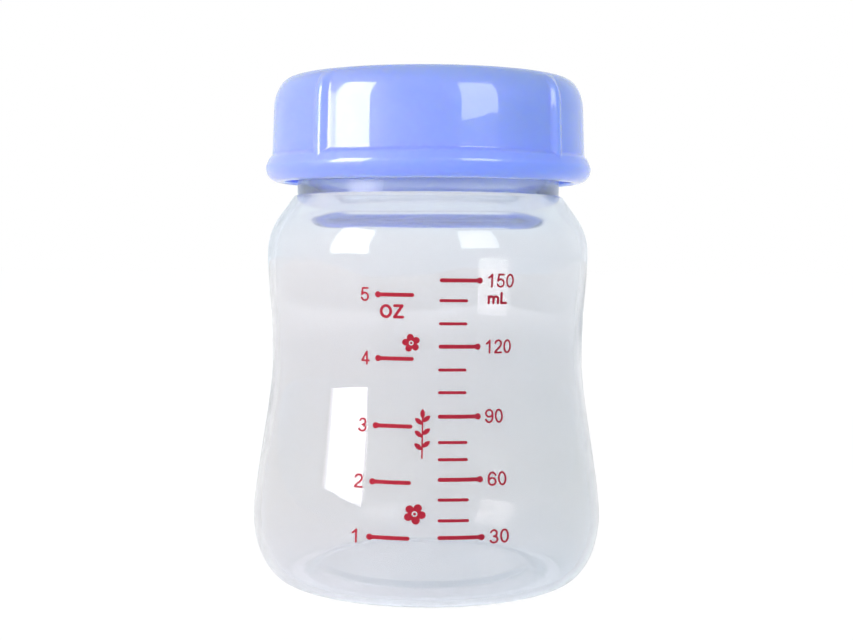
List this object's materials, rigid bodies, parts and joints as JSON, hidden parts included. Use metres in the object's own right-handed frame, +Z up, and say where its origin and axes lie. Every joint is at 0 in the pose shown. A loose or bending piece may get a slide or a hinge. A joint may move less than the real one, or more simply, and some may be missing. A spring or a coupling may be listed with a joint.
{
  "type": "milk storage bottle",
  "caption": "Waisted translucent bottle for storing milk, with printed graduations, closed by a ribbed screw cap over a dished sealing disc.",
  "frame": {"origin": "centre of the standing ring, on the surface that the bottle stands on", "axes": "+Z up the bottle's axis towards the cap; the printed graduations face -Y, with +X to their right"},
  "size_m": [0.0666, 0.0666, 0.095],
  "materials": {
    "bottle_plastic": "natural polypropylene, translucent with a slight haze and a glossy skin",
    "cap_plastic": "periwinkle blue polypropylene, glossy",
    "disc_plastic": "milky white soft polypropylene, satin",
    "print_ink": "crimson screen-printing ink, satin"
  },
  "bodies": {
    "bottle": {"bottle_body": "bottle_plastic"},
    "seal": {"sealing_disc": "disc_plastic"},
    "cap": {"screw_cap": "cap_plastic"}
  },
  "joints": [
    {"name": "cap_lift", "type": "slide", "parent": "bottle", "child": "seal", "axis": [0, 0, 1], "range_m": [0, 0.021]},
    {"name": "cap_turn", "type": "hinge", "parent": "seal", "child": "cap", "pos_m": [0, 0, 0.0754], "axis": [0, 0, 1], "range_deg": [0, 1260]}
  ],
  "couplings": [
    {"joint": "cap_lift", "follows": "cap_turn", "m_per_rad": 0.0009549}
  ]
}
